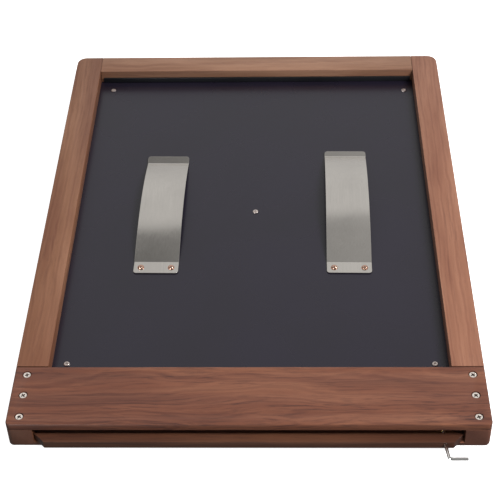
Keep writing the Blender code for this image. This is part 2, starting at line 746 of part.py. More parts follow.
def make_lock(handle):
    """Bent wire that turns in a brass bush in the handle and enters a keeper in the frame."""
    bore = [(LOCK_X, y, LOCK_Z) for y in (HANDLE_FRONT - CLEAR, HANDLE_LIP_BACK + CLEAR)]
    drill(handle, LOCK_WIRE_RADIUS + LOCK_PLAY, *bore)
    seat = [(LOCK_X, y, LOCK_Z) for y in (BUSH_NEAR - 0.0001, HANDLE_LIP_BACK + CLEAR)]
    drill(handle, BUSH_RADIUS + 0.0001, *seat)
    ends = [(LOCK_X, y, LOCK_Z) for y in (BUSH_NEAR, HANDLE_LIP_BACK - 0.0001)]
    bush = add_part("lock_bush", rod_mesh("bush", BUSH_RADIUS, *ends), "brass", HOLDER)
    keeper = block("lock_keeper", *keeper_box(), "brass")
    through = [(LOCK_X, y, LOCK_Z) for y in (BUSH_NEAR - CLEAR, COVER_DEPTH)]
    for target in (bush, keeper):
        drill(target, LOCK_WIRE_RADIUS + 0.0001, *through)

    steps = 6
    bend = [
        (LOCK_LEAN + LOCK_BEND * (1 - cos(a)), LOCK_FRONT + LOCK_BEND * (1 - sin(a)), 0)
        for a in (radians(90) * i / steps for i in range(steps + 1))
    ]
    straight = [(0, LOCK_BACK, 0), (0, HANDLE_FRONT, 0)]
    arm = [*straight, *bend, (LOCK_ARM_END - LOCK_X, LOCK_FRONT, 0)]
    curve = bpy.data.curves.new("lock_wire", "CURVE")
    curve.dimensions = "3D"
    curve.bevel_depth = LOCK_WIRE_RADIUS
    curve.bevel_resolution = 2
    curve.use_fill_caps = True
    spline = curve.splines.new("POLY")
    spline.points.add(len(arm) - 1)
    for point, place in zip(spline.points, arm):
        point.co = (*place, 1)
    add_part("lock_wire", curve, "stainless", HOLDER, (LOCK_X, 0, LOCK_Z))


def shade_smooth_parts():
    for part in PARTS.objects:
        if part.type == "MESH":
            part.data.shade_smooth()
            part.data.set_sharp_from_angle(angle=radians(30))


clear_scene()
PARTS = make_collection("sheet_film_holder", hidden=False)
CUTTERS = make_collection("cutters", hidden=True)
MATERIALS = make_materials()
HOLDER = make_empty("holder", None, (0, -LENGTH_MIDDLE, 0))

for side_name, side_sign in SIDES.items():
    make_stile(side_name, side_sign)
make_far_rail()
make_dowels()
make_cover_rail()
make_cover_screws()
make_near_end()
make_light_trap()
make_flap()
back_panel = make_panel()
film_sheath = make_sheath()
make_panel_rivets()
make_seal_strip()
for side_name in LEAVES:
    make_leaf(side_name, back_panel, film_sheath)
make_lock(make_slide())
shade_smooth_parts()
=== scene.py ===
# %% [markdown]
# # A walnut sheet film holder
# The imported model gives every part its place, and this notebook gives each part its finish:
# oiled walnut, a satin black panel, two stainless leaf springs and the small hardware.

# %% The imported model
import json
from math import asin, atan2, cos, degrees, pi, radians, sin

import bmesh
import bpy
from mathutils import Matrix, Vector

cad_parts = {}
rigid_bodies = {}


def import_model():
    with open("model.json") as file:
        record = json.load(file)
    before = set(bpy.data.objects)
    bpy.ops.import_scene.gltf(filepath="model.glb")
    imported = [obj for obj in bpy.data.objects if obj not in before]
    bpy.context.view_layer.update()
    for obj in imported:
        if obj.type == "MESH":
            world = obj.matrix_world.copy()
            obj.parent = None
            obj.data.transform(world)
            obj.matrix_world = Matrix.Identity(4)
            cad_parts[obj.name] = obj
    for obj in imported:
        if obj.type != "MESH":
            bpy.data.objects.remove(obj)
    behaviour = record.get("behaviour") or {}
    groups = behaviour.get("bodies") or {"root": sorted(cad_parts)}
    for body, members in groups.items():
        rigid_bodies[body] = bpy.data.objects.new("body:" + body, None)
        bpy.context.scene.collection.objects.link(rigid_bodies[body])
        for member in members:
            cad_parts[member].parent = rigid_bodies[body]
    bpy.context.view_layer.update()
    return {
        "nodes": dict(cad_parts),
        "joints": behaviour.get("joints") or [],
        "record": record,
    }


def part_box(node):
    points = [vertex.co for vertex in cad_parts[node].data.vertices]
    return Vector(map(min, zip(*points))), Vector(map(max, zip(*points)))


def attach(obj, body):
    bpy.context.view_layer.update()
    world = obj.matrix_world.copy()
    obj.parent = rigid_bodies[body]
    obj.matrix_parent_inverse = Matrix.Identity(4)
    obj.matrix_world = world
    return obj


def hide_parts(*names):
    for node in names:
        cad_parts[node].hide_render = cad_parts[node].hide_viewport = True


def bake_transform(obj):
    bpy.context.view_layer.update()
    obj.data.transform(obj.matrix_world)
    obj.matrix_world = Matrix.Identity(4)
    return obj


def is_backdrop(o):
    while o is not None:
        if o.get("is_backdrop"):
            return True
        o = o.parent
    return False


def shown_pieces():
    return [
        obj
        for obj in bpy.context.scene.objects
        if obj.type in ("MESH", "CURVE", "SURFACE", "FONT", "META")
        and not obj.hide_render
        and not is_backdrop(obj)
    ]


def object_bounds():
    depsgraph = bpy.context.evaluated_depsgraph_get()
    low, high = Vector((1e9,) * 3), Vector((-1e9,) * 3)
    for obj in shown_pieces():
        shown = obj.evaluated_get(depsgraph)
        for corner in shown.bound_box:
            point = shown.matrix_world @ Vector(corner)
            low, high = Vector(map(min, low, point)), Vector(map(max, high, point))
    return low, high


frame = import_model()
nodes = frame["nodes"]
body_of_node = {
    node: body for body, members in frame["record"]["behaviour"]["bodies"].items() for node in members
}
joints = {joint["name"]: joint for joint in frame["joints"]}
MM = 0.001
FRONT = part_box("cover_rail")[0].y
BACK_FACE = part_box("cover_rail")[1].z

# %% [markdown]
# The holder is looked at from above its handle end, from about 0.7 m away, with a lens that keeps
# its sides nearly parallel. The camera is measured from the front edge of the back face, because
# that edge is the one that a reader can find on the object. A slight roll is kept too.

# %% Camera
SENSOR_WIDTH, FOCAL_LENGTH = 36.0, 93.6
camera_data = bpy.data.cameras.new("camera")
camera_data.sensor_width = SENSOR_WIDTH
camera_data.lens = FOCAL_LENGTH
camera_data.dof.use_dof = False
camera = bpy.data.objects.new("camera", camera_data)
camera.location = (17.374 * MM, FRONT - 405.611 * MM, BACK_FACE + 484.881 * MM)
camera.rotation_euler = (radians(47.579), radians(1.116), radians(0.969))
bpy.context.scene.collection.objects.link(camera)
bpy.context.scene.camera = camera
bpy.context.scene.view_settings.view_transform = "Standard"
print(f"view: {degrees(2 * atan2(SENSOR_WIDTH / 2, FOCAL_LENGTH)):.1f} degrees wide")


# %% [markdown]
# Colours are picked as sRGB hex, the way a colour card gives them, and Blender mixes light in
# linear values. One function turns the first into the second, so every material uses it.

# %% Colour
def srgb(code):
    """A hex colour as a linear RGBA value."""
    parts = [int(code[i : i + 2], 16) / 255 for i in (1, 3, 5)]
    linear = [p / 12.92 if p <= 0.04045 else ((p + 0.055) / 1.055) ** 2.4 for p in parts]
    return (*linear, 1.0)


print("mid grey in linear light:", round(srgb("#808080")[0], 3))

# %% [markdown]
# A material is a small graph. One helper adds a node, sets its plain values by attribute or by
# socket name, and links what it is given, so that each recipe below reads from top to bottom.
# Patterns are measured in millimetres on the object, so a Mapping node first scales its metres up.

# %% Node helper
def add(tree, kind, links=None, stops=None, **settings):
    """Adds a node; settings are attributes, links fill its sockets and stops are a ramp's colours."""
    node = tree.nodes.new("ShaderNode" + kind)
    for name, value in settings.items():
        setattr(node, name, value)
    for socket, value in (links or {}).items():
        if isinstance(value, bpy.types.NodeSocket):
            tree.links.new(value, node.inputs[socket])
        else:
            node.inputs[socket].default_value = value
    if stops:
        elements = node.color_ramp.elements
        elements[0].position, elements[0].color = stops[0]
        elements[1].position, elements[1].color = stops[-1]
        for place, colour in stops[1:-1]:
            elements.new(place).color = colour
    return node


def per_mm(x=1.0, y=1.0, z=1.0):
    """A Mapping node's scale from metres to millimetres, stretched along each axis."""
    return (x / MM, y / MM, z / MM)


def start_material(name):
    """An empty material with its tree, its Principled shader and the shader's place as output."""
    material = bpy.data.materials.new(name)
    material.use_nodes = True
    tree = material.node_tree
    tree.nodes.clear()
    shader = add(tree, "BsdfPrincipled")
    output = add(tree, "OutputMaterial")
    tree.links.new(shader.outputs["BSDF"], output.inputs["Surface"])
    return material, tree, shader


print("a pattern's scale for one step a millimetre:", per_mm())

# %% [markdown]
# The light is that of a small studio. Behind the object a white backdrop stands up to about fifty
# degrees above the table, and over it the ceiling is dim, so bright metal shows a clear line
# where the two meet. The ceiling is darker at the left than at the right, so the two leaves don't
# shine alike. The viewer's side of the room is dim too, which keeps the front faces dark.
# The room is a gradient on the world. A key lamp at the front right, high up, lights the wood and
# reaches in under the cover rail. Two small windows only put glints on round metal.

# %% Floor
FLOOR_HALF, FLOOR_DROP, PAPER_GLOW = 6.0, 0.2 * MM, 0.9
floor_bm = bmesh.new()
bmesh.ops.create_grid(floor_bm, x_segments=1, y_segments=1, size=FLOOR_HALF)
floor_mesh = bpy.data.meshes.new("floor")
floor_bm.to_mesh(floor_mesh)
floor_bm.free()
floor = bpy.data.objects.new("floor", floor_mesh)
floor.location.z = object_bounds()[0].z - FLOOR_DROP
bpy.context.scene.collection.objects.link(floor)
floor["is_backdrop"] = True

# The sheet of paper is lit on its own, so that it stays white and throws no glare on the wood.
paper, tree, shader = start_material("white paper sheet")
spot = add(tree, "TexCoord").outputs["Object"]
place = add(tree, "Mapping", {"Vector": spot, "Scale": per_mm()}).outputs["Vector"]
grain = add(tree, "TexNoise", {"Vector": place, "Scale": 0.8, "Detail": 2.0}).outputs["Fac"]
white = add(tree, "ValToRGB", {"Fac": grain}, stops=[(0.3, srgb("#F2F2F2")), (0.7, srgb("#F6F6F6"))])
tree.links.new(white.outputs["Color"], shader.inputs["Base Color"])
shader.inputs["Roughness"].default_value = 0.9
shader.inputs["Emission Color"].default_value = (1.0, 1.0, 1.0, 1.0)
shader.inputs["Emission Strength"].default_value = PAPER_GLOW
floor_mesh.materials.append(paper)
floor.visible_diffuse = floor.visible_glossy = floor.visible_shadow = False
print("floor:", 2 * FLOOR_HALF, "m wide")

# %% Light of the room
# Brightness of each band of the room, at its left and at its right.
BELOW = (0.20, 0.24)
HORIZON = (0.50, 0.62)
BACKDROP = (0.70, 0.73)
CEILING = (0.20, 0.46)
# The backdrop's top is this many degrees up, and its edge leans by this slope.
SEAM = 53.2
LEAN = 0.34
# Heights in degrees where the bands below it change, and half the seam's softness.
TABLE_EDGE, HORIZON_LINE, BACKDROP_FOOT, SEAM_SOFTNESS = -3, 1, 22, 1.0
# The viewer's side has this share of the light.
VIEWER_SIDE = 0.50


def room_tone(tree, height, side):
    """The room's brightness against height, for one side of the room."""

    def at(elevation):
        return (1 + sin(radians(elevation))) / 2

    below, horizon, backdrop, ceiling = (
        (level[side],) * 3 + (1.0,) for level in (BELOW, HORIZON, BACKDROP, CEILING)
    )
    stops = [
        (0.0, below),
        (at(TABLE_EDGE), below),
        (at(HORIZON_LINE), horizon),
        (at(BACKDROP_FOOT), backdrop),
        (at(SEAM - SEAM_SOFTNESS), backdrop),
        (at(SEAM + SEAM_SOFTNESS), ceiling),
        (1.0, ceiling),
    ]
    return add(tree, "ValToRGB", {"Fac": height}, stops=stops).outputs["Color"]


def build_world():
    """The room as a world, whose brightness depends on height, on side and on where it faces."""
    world = bpy.data.worlds.new("small studio")
    bpy.context.scene.world = world
    world.use_nodes = True
    tree = world.node_tree
    tree.nodes.clear()
    axes = add(tree, "SeparateXYZ", {"Vector": add(tree, "TexCoord").outputs["Generated"]}).outputs
    lean = add(tree, "Math", {0: axes["X"], 1: LEAN, 2: axes["Z"]}, operation="MULTIPLY_ADD").outputs[0]
    height = add(tree, "MapRange", {"Value": lean, "From Min": -1.0, "From Max": 1.0}).outputs["Result"]
    sides = {"Value": axes["X"], "From Min": -0.12, "From Max": 0.08}
    across = add(tree, "MapRange", sides).outputs["Result"]
    left, right = (room_tone(tree, height, side) for side in (0, 1))
    tone = add(tree, "Mix", {0: across, 6: left, 7: right}, data_type="RGBA").outputs[2]
    facing = {"Value": axes["Y"], "From Min": -0.40, "From Max": 0.20, "To Min": VIEWER_SIDE}
    strength = add(tree, "MapRange", facing).outputs["Result"]
    background = add(tree, "Background", {"Color": tone, "Strength": strength})
    output = add(tree, "OutputWorld")
    tree.links.new(background.outputs["Background"], output.inputs["Surface"])


def add_lamp(name, place, aim, side, power):
    """A square lamp, its side in metres and its power in watts."""
    data = bpy.data.lights.new(name, "AREA")
    data.shape, data.size, data.energy = "SQUARE", side, power
    lamp = bpy.data.objects.new(name, data)
    lamp.location = place
    lamp.rotation_euler = (Vector(aim) - Vector(place)).to_track_quat("-Z", "Y").to_euler()
    bpy.context.scene.collection.objects.link(lamp)
    return lamp


build_world()
key = add_lamp("key lamp", (0.62, -0.50, 1.00), (0, 0, 0), 0.5, 15.0)
key.visible_glossy = False
for name, place, power in (
    ("left window", (-0.62, -1.00, 0.16), 6.0),
    ("right window", (1.10, -0.30, 0.34), 4.0),
):
    window = add_lamp(name, place, (0, 0, 0), 0.20, power)
    window.visible_diffuse = False
print("backdrop up to", SEAM, "degrees, key lamp of", key.data.energy, "W")


# %% [markdown]
# Walnut is a brown wood, planed, sanded and oiled. The eye reads it at three scales: wide bands
# where the saw crossed the growth rings, thin darker veins along them, and short open pores that
# lie with the grain. All three are one pattern in space, measured in millimetres and laid along
# the board, so that faces, edges and end grain agree with each other.

# %% Walnut's pattern
def walnut_pattern(tree, place, figure):
    """The bands, the rings, the veins and how many there are, and the open pores."""
    # The log's axis wanders by several millimetres over a hand's length, which bends the bands.
    slow = add(tree, "Mapping", {"Vector": place, "Scale": (0.008, 0.03, 0.03)}).outputs["Vector"]
    wander = add(tree, "TexNoise", {"Vector": slow, "Scale": 1.0, "Detail": 2.0}).outputs["Color"]
    offset = add(tree, "VectorMath", {0: wander, 1: (0.5, 0.5, 0.5)}, operation="SUBTRACT").outputs[0]
    sway = 26 * figure
    push = add(tree, "VectorMath", {0: offset, 1: (0, sway, sway)}, operation="MULTIPLY").outputs[0]
    bent = add(tree, "VectorMath", {0: place, 1: push}, operation="ADD").outputs[0]

    # Growth rings 5 mm apart: a ring wave's period is 2 pi / 20 at scale 1.
    ring_spacing = 5.0
    wave = {"Vector": bent, "Scale": 2 * pi / 20 / ring_spacing, "Distortion": 1.4, "Detail": 2.0}
    rings = add(tree, "TexWave", wave, wave_type="RINGS", rings_direction="X").outputs["Fac"]

    # Broad bands of heartwood colour, about 12 mm wide and 100 mm long.
    broad = add(tree, "Mapping", {"Vector": bent, "Scale": (0.010, 0.08, 0.08)}).outputs["Vector"]
    bands = add(tree, "TexNoise", {"Vector": broad, "Scale": 1.0, "Detail": 3.0}).outputs["Fac"]

    # Veins 1 mm wide and 22 mm long, which gather in some places and are few in others.
    thin = add(tree, "Mapping", {"Vector": bent, "Scale": (0.045, 0.95, 0.95)}).outputs["Vector"]
    noise = {"Vector": thin, "Scale": 1.0, "Detail": 5.0, "Roughness": 0.62}
    veins = add(tree, "TexNoise", noise).outputs["Fac"]
    patch = add(tree, "Mapping", {"Vector": place, "Scale": (0.014, 0.09, 0.09)}).outputs["Vector"]
    gather = add(tree, "TexNoise", {"Vector": patch, "Scale": 1.0, "Detail": 1.0}).outputs["Fac"]
    many = {"Value": gather, "From Min": 0.35, "From Max": 0.62, "To Min": 0.25, "To Max": 1.0}
    many = add(tree, "MapRange", many).outputs["Result"]

    # Pores 0.25 mm wide and 4 mm long.
    fine = add(tree, "Mapping", {"Vector": place, "Scale": (0.22, 3.6, 3.6)}).outputs["Vector"]
    pores = add(tree, "TexNoise", {"Vector": fine, "Scale": 1.0, "Detail": 2.0}).outputs["Fac"]
    deep = {"Value": pores, "From Min": 0.60, "From Max": 0.72}
    open_pore = add(tree, "MapRange", deep).outputs["Result"]
    return bands, rings, veins, many, open_pore


print("walnut's vein at the scale of its pattern:", round(1 / 0.95, 2), "mm wide")

# %% [markdown]
# Three things change a board's colour from place to place, apart from its pattern. A board may be
# darker over a stretch, as where it keeps heartwood, its end grain drinks more oil than its sides do,
# and one board's front face is given a painted shade.

# %% Darker wood
def darken_places(tree, spot, colour, dark, heartwood_and_shade_places):
    """Adds darker stretches, of heartwood and of painted shade, each a ramp across the board and a ramp
    along it, in mm.
    """
    axes = add(tree, "SeparateXYZ", {"Vector": spot}).outputs
    for (x_from, x_to), (y_from, y_to) in heartwood_and_shade_places:
        across = {"Value": axes["X"], "From Min": x_from * MM, "From Max": x_to * MM, "To Max": 0.6}
        across = add(tree, "MapRange", across).outputs["Result"]
        length = {"Value": axes["Y"], "From Min": y_from * MM, "From Max": y_to * MM}
        length = add(tree, "MapRange", length).outputs["Result"]
        amount = add(tree, "Math", {0: across, 1: length}, operation="MULTIPLY").outputs[0]
        colour = add(tree, "Mix", {0: amount, 6: colour, 7: dark}, data_type="RGBA").outputs[2]
    return colour


def soak_ends(tree, normal, along, colour, streak):
    """Darkens the faces that look along the grain."""
    facing = add(tree, "SeparateXYZ", {"Vector": normal}).outputs[along]
    facing = add(tree, "Math", {0: facing}, operation="ABSOLUTE").outputs[0]
    soaked = {"Value": facing, "From Min": 0.5, "From Max": 0.9, "To Max": 0.55}
    soaked = add(tree, "MapRange", soaked).outputs["Result"]
    return add(tree, "Mix", {0: soaked, 6: colour, 7: streak}, data_type="RGBA").outputs[2]


# The left stile's heartwood shows along its inner side at the far end, and the stile darkens all over
# towards the handle. The right stile's front end is painted darker, as a painted shade on its front face.
LEFT_DARK_STRETCHES = (((-111, -107), (20, 110)), ((-120, -119), (-30, -110)))
RIGHT_FRONT_PAINTED_SHADE = (((0, 1), (-140, -146)),)
print("darker stretches:", len(LEFT_DARK_STRETCHES), "in the left stile,", len(RIGHT_FRONT_PAINTED_SHADE), "in the right")


# %% Walnut
def walnut(name, along, cut_depth, tones, figure=1.0, heartwood_and_shade_places=()):
    """along is the grain's axis, cut_depth the board's place in its log in mm, figure how wild it is."""
    material, tree, shader = start_material(name)
    turn = (0, 0, radians(-90)) if along == "Y" else (0, 0, 0)
    surface = add(tree, "TexCoord").outputs
    spot = surface["Object"]
    laid = {"Vector": spot, "Location": cut_depth, "Rotation": turn, "Scale": per_mm()}
    place = add(tree, "Mapping", laid).outputs["Vector"]
    bands, rings, veins, many, open_pore = walnut_pattern(tree, place, figure)

    light, middle, dark, streak = (srgb(code) for code in tones)
    base = add(tree, "ValToRGB", {"Fac": bands}, stops=[(0.34, dark), (0.50, middle), (0.64, light)])
    ring_tone = add(tree, "ValToRGB", {"Fac": rings}, stops=[(0.0, middle), (0.75, light), (1.0, dark)])
    both = {0: 0.30, 6: base.outputs["Color"], 7: ring_tone.outputs["Color"]}
    colour = add(tree, "Mix", both, data_type="RGBA").outputs[2]
    colour = darken_places(tree, spot, colour, dark, heartwood_and_shade_places)
    vein = {"Value": veins, "From Min": 0.48, "From Max": 0.68, "To Max": 0.9 * figure}
    vein = add(tree, "MapRange", vein).outputs["Result"]
    vein = add(tree, "Math", {0: vein, 1: many}, operation="MULTIPLY").outputs[0]
    colour = add(tree, "Mix", {0: vein, 6: colour, 7: streak}, data_type="RGBA").outputs[2]
    pore = add(tree, "Math", {0: open_pore, 1: 0.35}, operation="MULTIPLY").outputs[0]
    colour = add(tree, "Mix", {0: pore, 6: colour, 7: streak}, data_type="RGBA").outputs[2]
    colour = soak_ends(tree, surface["Normal"], along, colour, streak)
    tree.links.new(colour, shader.inputs["Base Color"])

    sheen = {"Value": veins, "From Min": 0.3, "From Max": 0.7, "To Min": 0.40, "To Max": 0.56}
    tree.links.new(add(tree, "MapRange", sheen).outputs["Result"], shader.inputs["Roughness"])
    shader.inputs["IOR"].default_value = 1.48
    depth = add(tree, "Math", {0: open_pore, 1: -1.0}, operation="MULTIPLY").outputs[0]
    relief = add(tree, "Math", {0: veins, 1: depth}, operation="ADD").outputs[0]
    bump = add(tree, "Bump", {"Height": relief, "Strength": 0.35, "Distance": 0.06 * MM})
    tree.links.new(bump.outputs["Normal"], shader.inputs["Normal"])
    return material


# %% [markdown]
# Each board has a place in its log of its own, so no two look alike. The frame is straight-grained
# and rather pale, the cover rail is darker with a wild figure, and the handle is the darkest.

# %% Boards' woods
# Light, middle, dark and streak of each board: the left stile is browner, the far rail paler.
LEFT_TONES = ("#9A6D53", "#895D43", "#744732", "#5C3A2E")
RIGHT_TONES = ("#A5755D", "#93644E", "#7E4F3D", "#623F36")
FAR_TONES = ("#A1785F", "#8F674F", "#7A523E", "#624238")
COVER_TONES = ("#875741", "#754735", "#5D362A", "#3D2422")
HANDLE_TONES = ("#65412F", "#563527", "#452920", "#2F1C19")
STRAIGHT, WILD = 0.4, 0.9
WALNUTS = {
    "left_stile": walnut("oiled walnut, left stile", "Y", (40, 31, 22), LEFT_TONES, STRAIGHT, LEFT_DARK_STRETCHES),
    # The right stile's front end carries a painted shade on its front face.
    "right_stile": walnut(
        "oiled walnut, right stile", "Y", (190, 47, -26), RIGHT_TONES, STRAIGHT, RIGHT_FRONT_PAINTED_SHADE
    ),
    "far_rail": walnut("oiled walnut, far rail", "X", (310, -168, 31), FAR_TONES, STRAIGHT),
    "cover_rail": walnut("oiled dark walnut, cover rail", "X", (520, 96, 24), COVER_TONES, WILD),
    "slide_handle": walnut("oiled dark walnut, handle", "X", (70, 171, 40), HANDLE_TONES, STRAIGHT),
    "near_cross_rail": walnut("oiled walnut, cross rail", "X", (640, 130, 12), RIGHT_TONES),
    "lens_front_bar": walnut("oiled walnut, lens-side bar", "X", (820, 140, 30), RIGHT_TONES),
    "loading_flap": walnut("oiled walnut, loading flap", "X", (910, 99, 18), RIGHT_TONES),
}
print("walnut boards:", len(WALNUTS))


# %% [markdown]
# The panel is a thin sheet with a black satin coat. What shows on it is mostly what it mirrors,
# softened: the white backdrop as a cool dark grey, and the wall of the recess as a darker band. So
# its own colour stays near black, and the roughness does the work, with a faint orange peel.

# %% Black satin coat
def satin_black(name, dark, light, roughness, ripple_mm, ripple_strength):
    """A sprayed black coat: its roughness drifts a little, and it has a fine orange peel."""
    material, tree, shader = start_material(name)
    spot = add(tree, "TexCoord").outputs["Object"]
    place = add(tree, "Mapping", {"Vector": spot, "Scale": per_mm()}).outputs["Vector"]
    cloud = add(tree, "TexNoise", {"Vector": place, "Scale": 0.02, "Detail": 3.0}).outputs["Fac"]
    spread = {"From Min": 0.3, "From Max": 0.7, "To Min": roughness - 0.03, "To Max": roughness + 0.03}
    varied = add(tree, "MapRange", {"Value": cloud, **spread}).outputs["Result"]
    tree.links.new(varied, shader.inputs["Roughness"])
    ripple = add(tree, "TexNoise", {"Vector": place, "Scale": 1 / ripple_mm, "Detail": 1.0}).outputs["Fac"]
    bump = add(tree, "Bump", {"Height": ripple, "Strength": ripple_strength, "Distance": 0.02 * MM})
    tree.links.new(bump.outputs["Normal"], shader.inputs["Normal"])
    tone = add(tree, "ValToRGB", {"Fac": cloud}, stops=[(0.3, srgb(dark)), (0.7, srgb(light))])
    tree.links.new(tone.outputs["Color"], shader.inputs["Base Color"])
    return material


PANEL_COAT = satin_black("black satin coat on sheet", "#1D1924", "#201C29", 0.27, 0.8, 0.06)
SHEATH_COAT = satin_black("black matt coat on thin sheet", "#202124", "#26272B", 0.55, 0.5, 0.25)
EDGE_STRIP = satin_black("black moulded edge strip", "#151619", "#1B1C20", 0.34, 1.0, 0.15)
print("black coats:", ", ".join(coat.name for coat in (PANEL_COAT, SHEATH_COAT, EDGE_STRIP)))


# %% [markdown]
# The dark slide is vulcanised fibre, a dense black board pressed from paper: nearly matt, with a
# faint weave of pressed fibres that lie both ways. Velvet in the light trap is a short black pile
# that swallows light and only glows a little where it is seen edge on.

# %% Fibre board and velvet
def fibre_board():
    """Pressed paper fibres that lie both ways, half a millimetre wide and 8 mm long."""
    material, tree, shader = start_material("black vulcanised fibre")
    spot = add(tree, "TexCoord").outputs["Object"]
    fibres = []
    for stretch in (per_mm(2.0, 0.12, 2.0), per_mm(0.12, 2.0, 2.0)):
        place = add(tree, "Mapping", {"Vector": spot, "Scale": stretch}).outputs["Vector"]
        fibres.append(add(tree, "TexNoise", {"Vector": place, "Scale": 1.0}).outputs["Fac"])
    both = add(tree, "Math", {0: fibres[0], 1: fibres[1]}, operation="ADD").outputs[0]
    half = add(tree, "Math", {0: both, 1: 0.5}, operation="MULTIPLY").outputs[0]
    tone = add(tree, "ValToRGB", {"Fac": half}, stops=[(0.35, srgb("#141416")), (0.65, srgb("#232428"))])
    tree.links.new(tone.outputs["Color"], shader.inputs["Base Color"])
    shader.inputs["Roughness"].default_value = 0.46
    bump = add(tree, "Bump", {"Height": both, "Strength": 0.3, "Distance": 0.02 * MM})
    tree.links.new(bump.outputs["Normal"], shader.inputs["Normal"])
    return material


def velvet():
    """A short black pile, in tufts of 0.4 mm."""
    material, tree, shader = start_material("black velvet pile")
    spot = add(tree, "TexCoord").outputs["Object"]
    place = add(tree, "Mapping", {"Vector": spot, "Scale": per_mm()}).outputs["Vector"]
    pile = add(tree, "TexNoise", {"Vector": place, "Scale": 2.5, "Detail": 3.0}).outputs["Fac"]
    tone = add(tree, "ValToRGB", {"Fac": pile}, stops=[(0.35, srgb("#060607")), (0.65, srgb("#161618"))])
    tree.links.new(tone.outputs["Color"], shader.inputs["Base Color"])
    shader.inputs["Roughness"].default_value = 0.95
    shader.inputs["Sheen Weight"].default_value = 0.4
    shader.inputs["Sheen Roughness"].default_value = 0.4
    bump = add(tree, "Bump", {"Height": pile, "Strength": 0.7, "Distance": 0.15 * MM})
    tree.links.new(bump.outputs["Normal"], shader.inputs["Normal"])
    return material


FIBRE = fibre_board()
VELVET = velvet()
print("soft blacks:", FIBRE.name, "and", VELVET.name)


# %% [markdown]
# Spring steel strip is cold rolled and then brushed along its length. The brush lines are far
# finer than a picture shows, so they are drawn 0.4 mm wide, and they change the roughness more
# than the colour. Turned and drawn metals have no such lines, only a slight unevenness. The oil
# and wax rubbed over the wood collect in the screws' recesses, and the recesses and sunk rims of the
# screw heads are also given a painted shade, so a cross shows dark.

# %% Metals
# Colour of the wax and of the painted shade in the screws' recesses.
WAX_AND_SHADE = "#3A2A24"


def metal(name, code, roughness, lines=(1, 1, 1), line_mm=1.0, depth=0.1, metallic=1.0, clean_lit_above=None):
    """Bare metal with fine lines; lines is small along them, and wax and painted shade darken it below a
    given height.
    """
    material, tree, shader = start_material(name)
    shader.inputs["Metallic"].default_value = metallic
    spot = add(tree, "TexCoord").outputs["Object"]
    fine = add(tree, "Mapping", {"Vector": spot, "Scale": per_mm(*lines)}).outputs["Vector"]
    brushed = add(tree, "TexNoise", {"Vector": fine, "Scale": 1 / line_mm, "Detail": 3.0}).outputs["Fac"]
    place = add(tree, "Mapping", {"Vector": spot, "Scale": per_mm()}).outputs["Vector"]
    cloud = add(tree, "TexNoise", {"Vector": place, "Scale": 0.05, "Detail": 2.0}).outputs["Fac"]
    both = add(tree, "Math", {0: brushed, 1: cloud}, operation="ADD").outputs[0]
    mixed = add(tree, "Math", {0: both, 1: 0.5}, operation="MULTIPLY").outputs[0]
    spread = {"From Min": 0.35, "From Max": 0.65, "To Min": roughness * 0.82, "To Max": roughness * 1.18}
    varied = add(tree, "MapRange", {"Value": mixed, **spread}).outputs["Result"]
    tree.links.new(varied, shader.inputs["Roughness"])
    bright = srgb(code)
    dull = (*(0.88 * value for value in bright[:3]), 1.0)
    tone = add(tree, "ValToRGB", {"Fac": mixed}, stops=[(0.35, dull), (0.65, bright)])
    colour = tone.outputs["Color"]
    # Below the clean rim the colour turns to wax and painted shade: the recess's cross and the sunk rim's
    # crescent.
    if clean_lit_above is not None:
        height = add(tree, "SeparateXYZ", {"Vector": spot}).outputs["Z"]
        full_wax_and_shade = clean_lit_above - 0.35 * MM
        wax_and_shade = {"Value": height, "From Min": clean_lit_above, "From Max": full_wax_and_shade, "To Max": 0.8}
        wax_and_shade = add(tree, "MapRange", wax_and_shade).outputs["Result"]
        colour = add(tree, "Mix", {0: wax_and_shade, 6: colour, 7: srgb(WAX_AND_SHADE)}, data_type="RGBA").outputs[2]
    tree.links.new(colour, shader.inputs["Base Color"])
    bump = add(tree, "Bump", {"Height": brushed, "Strength": depth, "Distance": 0.01 * MM})
    tree.links.new(bump.outputs["Normal"], shader.inputs["Normal"])
    return material


BRUSHED = metal("brushed stainless spring strip", "#D3CEC7", 0.17, (2.5, 0.02, 2.5), 1.0, 0.25)
DRAWN = metal("drawn stainless wire", "#F2F0EC", 0.16, (1, 1, 1), 0.8, 0.1)
COPPER = metal("copper, upset cold", "#E2B8A3", 0.20, (1, 1, 1), 1.1, 0.1)
# The screws' plating is milky with age, so it is less than fully metallic.
# Below this height the screw heads are darkened by wax and by painted shade.
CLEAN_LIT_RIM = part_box("left_front_cover_screw")[1].z - 0.12 * MM
NICKEL = metal("nickel plating", "#FFF4EA", 0.30, (1, 1, 1), 0.7, 0.1, 0.7, CLEAN_LIT_RIM)
RIVET_NICKEL = metal("nickel plating, tinted by use", "#E6D9D2", 0.30, (1, 1, 1), 0.7, 0.1)
BRASS = metal("turned brass", "#C9A562", 0.28, (0.3, 4.0, 0.3), 1.0, 0.2)


def beech():
    """Plain beech with flecks 0.6 mm wide and 7 mm long."""
    material, tree, shader = start_material("beech dowel")
    spot = add(tree, "TexCoord").outputs["Object"]
    place = add(tree, "Mapping", {"Vector": spot, "Scale": per_mm(0.15, 1.6, 1.6)}).outputs["Vector"]
    fleck = add(tree, "TexNoise", {"Vector": place, "Scale": 1.0}).outputs["Fac"]
    tone = add(tree, "ValToRGB", {"Fac": fleck}, stops=[(0.35, srgb("#B68F63")), (0.65, srgb("#CBA97C"))])
    tree.links.new(tone.outputs["Color"], shader.inputs["Base Color"])
    shader.inputs["Roughness"].default_value = 0.6
    bump = add(tree, "Bump", {"Height": fleck, "Strength": 0.3, "Distance": 0.05 * MM})
    tree.links.new(bump.outputs["Normal"], shader.inputs["Normal"])
    return material


